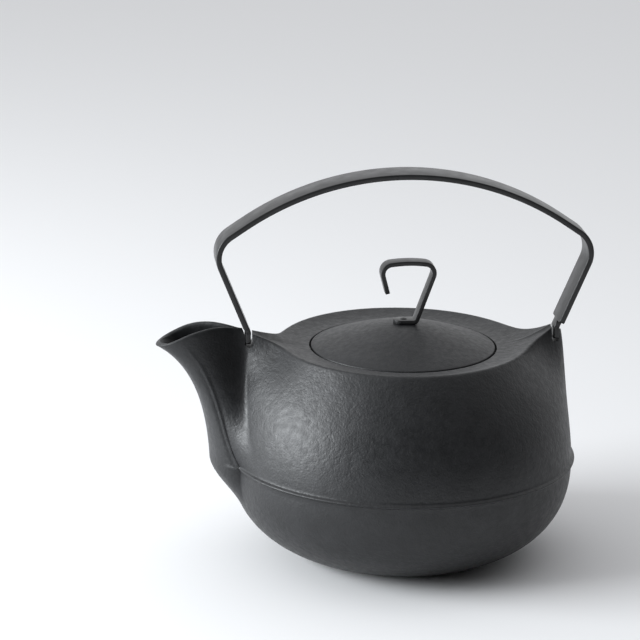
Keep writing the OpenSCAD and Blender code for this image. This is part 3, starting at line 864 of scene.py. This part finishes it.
IRON_DARK = (0.011, 0.0115, 0.0125)
STEEL_DARK, STEEL_LIGHT = (0.004, 0.004, 0.0045), (0.008, 0.008, 0.0085)
IRON = cast_iron("cast_iron_body", IRON_DARK, (0.017, 0.0175, 0.019), 0.47, 0.95, 0.13)
LID_IRON = cast_iron("cast_iron_lid", IRON_DARK, (0.016, 0.0165, 0.018), 0.5, 0.85, 0.09)
BAR_STEEL = black_steel("forged_bar_black", STEEL_DARK, STEEL_LIGHT, 0.34, (1, 1, 0.3))
STRIP_STEEL = black_steel("bent_strip_black", STEEL_DARK, STEEL_LIGHT, 0.36, (1, 1, 0.4))
RIVET_STEEL = black_steel(
    "rivet_black", (0.01, 0.01, 0.01), (0.016, 0.016, 0.016), 0.42, (1, 1, 1)
)
WASHER_STEEL = black_steel(
    "washer_black", (0.014, 0.014, 0.015), (0.022, 0.022, 0.023), 0.45, (1, 1, 1)
)


# ---------------------------------------------------------------- the kettle
def dress(obj, finish, body, node):
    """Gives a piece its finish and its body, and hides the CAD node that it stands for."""
    obj.data.materials.clear()
    obj.data.materials.append(finish)
    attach(obj, body)
    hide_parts(node)


BENT_BAR = bent_bar_tree()
dress(make_casting(), IRON, "kettle", "kettle_body")
dress(make_bail(BAR_STEEL), BAR_STEEL, "kettle", "handle")
dress(make_lid(), LID_IRON, "lid", "lid")
dress(make_knob(STRIP_STEEL), STRIP_STEEL, "lid", "lid_knob")
dress(make_rivet(), RIVET_STEEL, "lid", "knob_rivet")
dress(make_washer(), WASHER_STEEL, "lid", "rivet_washer")


# ---------------------------------------------------------------- floor, light and camera
def make_floor(reach=8000.0):
    z = -0.1
    corners = [(-reach, -reach, z), (reach, -reach, z), (reach, reach, z), (-reach, reach, z)]
    floor = mesh_object("pale_floor", corners, [(0, 1, 2, 3)])
    floor.data.materials.append(finish_nodes("pale_floor", (0.86, 0.86, 0.865), 0.9, 0.1)[0])


def make_sky(dim, bright, toward, turn_low, turn_high):
    """Even studio light that is bright behind the kettle and overhead, and dim on the other side."""
    world = bpy.data.worlds.new("studio")
    bpy.context.scene.world = world
    world.use_nodes = True
    tree = world.node_tree
    glow = tree.nodes["Background"]
    coords, facing = tree.nodes.new("ShaderNodeTexCoord"), tree.nodes.new("ShaderNodeVectorMath")
    facing.operation = "DOT_PRODUCT"
    facing.inputs[1].default_value = Vector(toward).normalized()
    tree.links.new(coords.outputs["Generated"], facing.inputs[0])
    ranged = tree.nodes.new("ShaderNodeMapRange")
    ranged.interpolation_type = "SMOOTHSTEP"
    ranged.inputs["From Min"].default_value = turn_low
    ranged.inputs["From Max"].default_value = turn_high
    tree.links.new(facing.outputs["Value"], ranged.inputs["Value"])
    blend = tree.nodes.new("ShaderNodeMix")
    blend.data_type = "RGBA"
    blend.inputs["A"].default_value = (*dim, 1)
    blend.inputs["B"].default_value = (*bright, 1)
    tree.links.new(ranged.outputs["Result"], blend.inputs["Factor"])
    tree.links.new(blend.outputs["Result"], glow.inputs["Color"])


def make_lamp(name, place, aim, size, power, colour):
    lamp = bpy.data.lights.new(name, "AREA")
    lamp.shape, lamp.size, lamp.size_y = "RECTANGLE", *size
    lamp.energy, lamp.color = power, colour
    obj = bpy.data.objects.new(name, lamp)
    obj.location = place
    obj.rotation_euler = (Vector(aim) - Vector(place)).to_track_quat("-Z", "Y").to_euler()
    bpy.context.scene.collection.objects.link(obj)


def make_camera():
    lens = bpy.data.cameras.new("camera")
    lens.lens, lens.sensor_width, lens.clip_end = 168.75, 36, 50
    obj = bpy.data.objects.new("camera", lens)
    right = Vector((0.99342027, -0.11363471, 0.01425937))
    up = Vector((0.01773002, 0.27560378, 0.9611078))
    back = Vector((-0.11314514, -0.95453115, 0.27580512))
    turn = Matrix((right, up, back)).transposed().to_4x4()
    obj.matrix_world = Matrix.Translation((-0.19403, -1.31112, 0.48863)) @ turn
    bpy.context.scene.collection.objects.link(obj)
    bpy.context.scene.camera = obj


make_floor()
make_sky((0.03, 0.03, 0.03), (0.95, 0.96, 0.98), (-0.15, 0.8, 0.55), -0.35, 0.65)
make_lamp("window", (-1.1, -0.1, 0.42), (0, 0, 0.06), (0.8, 0.6), 22, (0.93, 0.97, 1.0))
make_camera()
bpy.context.scene.view_settings.view_transform = "Standard"
